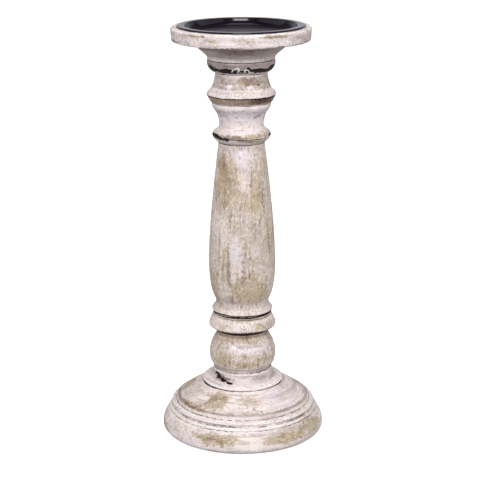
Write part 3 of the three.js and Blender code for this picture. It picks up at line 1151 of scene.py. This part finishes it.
def makeNut(nodeName, spec):
    low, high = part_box(nodeName)
    flat = (high.y - low.y) / 2
    tall = high.z - low.z
    angles = np.arange(spec["around"]) * 2 * math.pi / spec["around"]
    side = math.pi / 3
    fromFlat = (angles + math.pi / 6) % side - side / 2
    hexagon = flat / np.cos(fromFlat)
    hole = spec["holeRadius"] * mm
    edge = spec["edge"] * mm
    slope = math.tan(math.radians(spec["chamferAngle"]))
    mouth = hole + spec["countersink"] * mm
    levels = [0, edge * 0.4, edge]
    levels += [tall * part for part in (0.08, 0.14, 0.2, 0.3, 0.5, 0.7, 0.8, 0.86, 0.92)]
    levels += [tall - edge, tall - edge * 0.4, tall]
    rings = [(mouth, 0), (flat * 0.9, 0)]  # radius and height, from the hole outwards and over the top
    for level in levels:
        fromEnd = min(level, tall - level)
        cone = flat * 0.96 + fromEnd / slope
        rings.append((np.minimum(hexagon, cone), level))
    rings += [(flat * 0.9, tall), (mouth, tall)]
    start = spec["threadStart"] * mm
    steps = 2 * spec["threads"]
    for step in range(steps + 1):
        level = tall - start - (tall - 2 * start) * step / steps
        rings.append((hole + spec["threadDepth"] * mm * (step % 2), level))
    grid = np.zeros((len(rings), len(angles), 3))
    for ring, (radius, level) in zip(grid, rings):
        ring[:, 0] = radius * np.sin(angles)
        ring[:, 1] = -radius * np.cos(angles)
        ring[:, 2] = low.z + level
    nut = skin(nodeName + "_hex", grid, True)
    nut.data.materials.append(zinc)
    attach(nut, "candlestick")
    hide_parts(nodeName)


washerSpec = {"around": 96, "ringGap": 0.25, "softness": 0.12, "dish": 0.05}


def stampWasher(nodeName, spec, seed):
    outline, closed = cadOutline(nodeName)
    line = fairOutline(outline, closed, spec["softness"] * mm)
    rows = spreadRings(line, closed, spec["ringGap"], None)
    angles = np.arange(spec["around"]) * 2 * math.pi / spec["around"]
    points = ringPoints(rows[:, 0], rows[:, 1], angles)
    outward = ringPoints(rows[:, 2], rows[:, 3], angles)
    uneven = cloud(points, 5, seed) * spec["dish"] * mm
    washer = skin(nodeName + "_stamped", points + outward * uneven[..., None], closed)
    washer.data.materials.append(zinc)
    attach(washer, "candlestick")
    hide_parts(nodeName)


for nodeName in ("top_nut", "bottom_nut"):
    makeNut(nodeName, nutSpec)
stampWasher("top_washer", washerSpec, 700)
stampWasher("bottom_washer", washerSpec, 701)
print("Nuts and washers made")


feltSpec = {"around": 128, "rings": 26, "hub": 0.6, "edge": 0.35, "fuzz": 0.09, "strand": 0.7}


def pressFelt(nodeName, spec, seed):
    low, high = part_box(nodeName)
    centre = (low + high) / 2
    radius = (high.x - low.x) / 2
    tall = high.z - low.z
    edge = spec["edge"] * mm
    angles = np.arange(spec["around"]) * 2 * math.pi / spec["around"]
    quarter = np.linspace(0, math.pi / 2, 6)
    face = np.linspace(spec["hub"] * mm, radius - edge, spec["rings"])
    out = np.concatenate([face[:-1], radius - edge + edge * np.sin(quarter)])
    up = np.concatenate([np.zeros(len(face) - 1), edge - edge * np.cos(quarter)])
    radii = np.concatenate([out, out[::-1]])
    heights = np.concatenate([up, tall - up[::-1]])
    points = ringPoints(radii, heights, angles) + np.array([centre.x, centre.y, low.z])
    rim = ease(radii, radius * 0.8, radius)[:, None]
    side = np.stack([np.sin(angles), -np.cos(angles), np.zeros_like(angles)], axis=-1)
    fuzz = cloud(points, spec["strand"], seed, octaves=3) * spec["fuzz"] * mm * rim
    pad = skin(nodeName + "_pressed", points + side * fuzz[..., None], False)
    pad.data.materials.append(felt)
    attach(pad, "candlestick")
    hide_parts(nodeName)


feltNodes = [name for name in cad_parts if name.startswith("felt_pad_")]
for index, nodeName in enumerate(sorted(feltNodes)):
    pressFelt(nodeName, feltSpec, 800 + index)
print("Felt pads pressed:", len(feltNodes))


studio = {
    "floorSide": 40,
    "floorTone": shade(250, 249, 248),
    "floorGlow": 0.9,
    "backdropTone": (0.7, 0.68, 0.73, 1),
    "roomTone": (0.2, 0.194, 0.203, 1),  # in front of it and overhead
    "groundTone": (0.24, 0.235, 0.23, 1),
    "worldStrength": 0.95,
}


def layFloor(setup):
    half = setup["floorSide"] / 2
    mesh = bpy.data.meshes.new("floor")
    under = -0.05 * mm  # just clear of the felt pads
    corners = [(-half, -half), (half, -half), (half, half), (-half, half)]
    mesh.from_pydata([(x, y, under) for x, y in corners], [], [(0, 1, 2, 3)])
    floor = bpy.data.objects.new("floor", mesh)
    floor.visible_diffuse = False  # so that it doesn't light the undersides
    bpy.context.scene.collection.objects.link(floor)
    material, tree, shader = newMaterial("pale_floor")
    shader.inputs["Base Color"].default_value = setup["floorTone"]
    shader.inputs["Roughness"].default_value = 0.9
    shader.inputs["Emission Color"].default_value = setup["floorTone"]
    shader.inputs["Emission Strength"].default_value = setup["floorGlow"]
    mesh.materials.append(material)


# a pale backdrop low behind, and a dimmer room in front, overhead and below the horizon
def lightWorld(setup):
    world = bpy.data.worlds.new("studio")
    world.use_nodes = True
    tree = world.node_tree
    background = tree.nodes["Background"]
    place = tree.nodes.new("ShaderNodeTexCoord")
    split = tree.nodes.new("ShaderNodeSeparateXYZ")
    tree.links.new(place.outputs["Generated"], split.inputs[0])
    backward = between(tree, split.outputs["Y"], -0.3, 0.5)
    lowDown = between(tree, split.outputs["Z"], 0.38, 0.2)
    tone = over(tree, times(tree, backward, lowDown), setup["roomTone"], setup["backdropTone"])
    upward = between(tree, split.outputs["Z"], -0.15, 0.1)
    feed(tree, background.inputs["Color"], over(tree, upward, setup["groundTone"], tone))
    background.inputs["Strength"].default_value = setup["worldStrength"]
    bpy.context.scene.world = world
    bpy.context.scene.view_settings.view_transform = "Standard"


# soft boxes: place, width, height and power
softBoxes = [
    ((0.02, -1.5, 0.9), 0.8, 0.8, 19.4),
    ((-1.3, -0.3, 0.7), 1.6, 1.6, 5.8),
    ((1.3, -0.3, 0.7), 1.6, 1.6, 5.8),
    ((0.02, -1.12, 1.14), 0.66, 0.16, 3.8),
    ((0.0, -0.1, 1.9), 1.0, 1.0, 5.6),
]


def hangLights(boxes):
    aim = Vector((0, 0, cadHigh.z / 2))
    for index, (place, wide, tall, power) in enumerate(boxes):
        data = bpy.data.lights.new(f"soft_box_{index + 1}", "AREA")
        data.shape = "RECTANGLE"
        data.size = wide
        data.size_y = tall
        data.energy = power
        light = bpy.data.objects.new(data.name, data)
        light.location = place
        light.rotation_euler = (aim - Vector(place)).to_track_quat("-Z", "Y").to_euler()
        bpy.context.scene.collection.objects.link(light)


layFloor(studio)
lightWorld(studio)
hangLights(softBoxes)
print("Studio lit")
